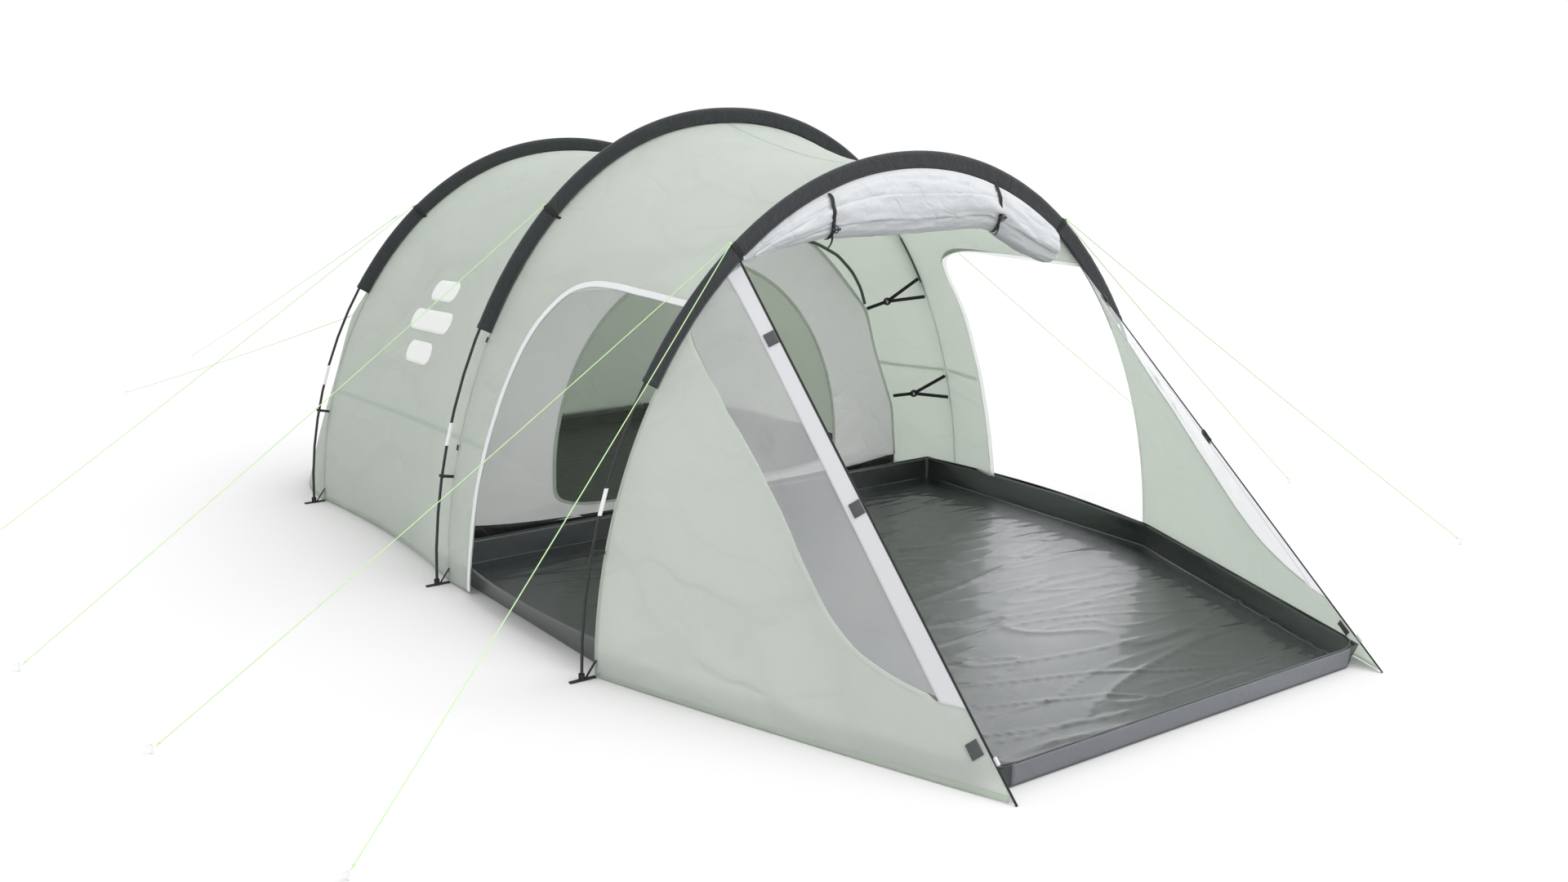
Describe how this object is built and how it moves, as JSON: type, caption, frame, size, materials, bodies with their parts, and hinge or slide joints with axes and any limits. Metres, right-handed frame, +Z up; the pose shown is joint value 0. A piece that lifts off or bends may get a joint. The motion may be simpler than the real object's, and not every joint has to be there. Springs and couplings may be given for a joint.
{
  "type": "tunnel tent",
  "caption": "Tunnel tent with three hoops, a hung sleeping compartment at the back and an open porch with a groundsheet, pitched and guyed.",
  "frame": {"origin": "On the ground under the middle of the pitched tent, without its guy lines and their pegs.", "axes": "+Z up; the porch and its open front face -Y, the sleeping end +Y; X is the width, and the tent is symmetric about X = 0 but for its guys."},
  "size_m": [5.2192, 7.5969, 1.636],
  "materials": {
    "fly_cloth": "satin coated polyester, sage green",
    "sleeve_cloth": "matt charcoal polyester",
    "pole_glassfibre": "smooth black, light metal ferrules",
    "black_plastic": "moulded",
    "black_webbing": "woven webbing and elastic cord",
    "clear_window": "clear film, slightly creased",
    "door_cloth": "coated inner face, off-white",
    "inner_cloth": "breathable polyester, light grey",
    "insect_mesh": "fine knitted mesh",
    "inner_floor_cloth": "woven black polyethylene",
    "groundsheet_film": "woven dark polyethylene, glossy",
    "guy_cord": "braided luminous green cord",
    "peg_steel": "bent round wire"
  },
  "bodies": {
    "tent": {"fly_bedroom_section": "fly_cloth", "fly_living_section": "fly_cloth", "fly_rear_wall": "fly_cloth", "front_door_roll": "door_cloth", "front_hoop_pole": "pole_glassfibre", "front_pole_sleeve": "sleeve_cloth", "guy_front_left_back": "guy_cord", "guy_front_left_fore": "guy_cord", "guy_front_right_back": "guy_cord", "guy_front_right_fore": "guy_cord", "guy_middle_left": "guy_cord", "guy_middle_right": "guy_cord", "guy_rear_left": "guy_cord", "guy_rear_wall_lower_left": "guy_cord", "guy_rear_wall_upper_left": "guy_cord", "inner_canopy": "inner_cloth", "inner_floor": "inner_floor_cloth", "inner_front_wall": "inner_cloth", "inner_hanger_lower_left": "black_webbing", "inner_hanger_lower_right": "black_webbing", "inner_hanger_upper_left": "black_webbing", "inner_hanger_upper_right": "black_webbing", "inner_mesh_door": "insect_mesh", "middle_hoop_pole": "pole_glassfibre", "middle_pole_sleeve": "sleeve_cloth", "peg_front_left_back": "peg_steel", "peg_front_left_fore": "peg_steel", "peg_front_right_back": "peg_steel", "peg_front_right_fore": "peg_steel", "peg_middle_left": "peg_steel", "peg_middle_right": "peg_steel", "peg_rear_left": "peg_steel", "peg_rear_wall_lower_left": "peg_steel", "peg_rear_wall_upper_left": "peg_steel", "pole_foot_front_left": "black_plastic", "pole_foot_front_right": "black_plastic", "pole_foot_middle_left": "black_plastic", "pole_foot_middle_right": "black_plastic", "pole_foot_rear_left": "black_plastic", "pole_foot_rear_right": "black_plastic", "porch_groundsheet": "groundsheet_film", "rear_hoop_pole": "pole_glassfibre", "rear_pole_sleeve": "sleeve_cloth", "roll_strap_left": "black_webbing", "roll_strap_right": "black_webbing", "window_left": "clear_window", "window_right": "clear_window", "wing_left": "fly_cloth", "wing_right": "fly_cloth"},
    "pole_clip_front_left": {"pole_clip_front_left": "black_plastic"},
    "pole_clip_front_right": {"pole_clip_front_right": "black_plastic"},
    "pole_clip_middle_left": {"pole_clip_middle_left": "black_plastic"},
    "pole_clip_middle_right": {"pole_clip_middle_right": "black_plastic"},
    "pole_clip_rear_left": {"pole_clip_rear_left": "black_plastic"},
    "pole_clip_rear_right": {"pole_clip_rear_right": "black_plastic"},
    "roll_toggle_left": {"roll_toggle_left": "black_plastic"},
    "roll_toggle_right": {"roll_toggle_right": "black_plastic"},
    "zip_slider_left": {"zip_slider_left": "black_plastic"},
    "zip_slider_right": {"zip_slider_right": "black_plastic"}
  },
  "joints": [
    {"name": "zip_left", "type": "slide", "parent": "tent", "child": "zip_slider_left", "axis": [0.0473, 0.7411, 0.6697], "range_m": [-0.06, 1.613]},
    {"name": "zip_right", "type": "slide", "parent": "tent", "child": "zip_slider_right", "axis": [-0.0473, 0.7411, 0.6697], "range_m": [-0.06, 1.613]},
    {"name": "roll_toggle_turn_left", "type": "hinge", "parent": "tent", "child": "roll_toggle_left", "pos_m": [-0.348, -0.9925, 1.291], "axis": [0, 1, 0], "range_deg": [-90, 90]},
    {"name": "roll_toggle_turn_right", "type": "hinge", "parent": "tent", "child": "roll_toggle_right", "pos_m": [0.35, -0.9925, 1.291], "axis": [0, 1, 0], "range_deg": [-90, 90]},
    {"name": "clip_swivel_rear_left", "type": "hinge", "parent": "tent", "child": "pole_clip_rear_left", "pos_m": [-1.18284, 1.469, 0.39206], "axis": [0.2327, 0, 0.9725], "range_deg": [-20, 20]},
    {"name": "clip_swivel_rear_right", "type": "hinge", "parent": "tent", "child": "pole_clip_rear_right", "pos_m": [1.18284, 1.469, 0.39206], "axis": [-0.2327, 0, 0.9725], "range_deg": [-20, 20]},
    {"name": "clip_swivel_middle_left", "type": "hinge", "parent": "tent", "child": "pole_clip_middle_left", "pos_m": [-1.20082, 0.15, 0.39196], "axis": [0.1921, 0, 0.9814], "range_deg": [-20, 20]},
    {"name": "clip_swivel_middle_right", "type": "hinge", "parent": "tent", "child": "pole_clip_middle_right", "pos_m": [1.20082, 0.15, 0.39196], "axis": [-0.1921, 0, 0.9814], "range_deg": [-20, 20]},
    {"name": "clip_swivel_front_left", "type": "hinge", "parent": "tent", "child": "pole_clip_front_left", "pos_m": [-1.19674, -0.934, 0.39204], "axis": [0.2276, 0, 0.9737], "range_deg": [-20, 20]},
    {"name": "clip_swivel_front_right", "type": "hinge", "parent": "tent", "child": "pole_clip_front_right", "pos_m": [1.19674, -0.934, 0.39204], "axis": [-0.2276, 0, 0.9737], "range_deg": [-20, 20]}
  ]
}
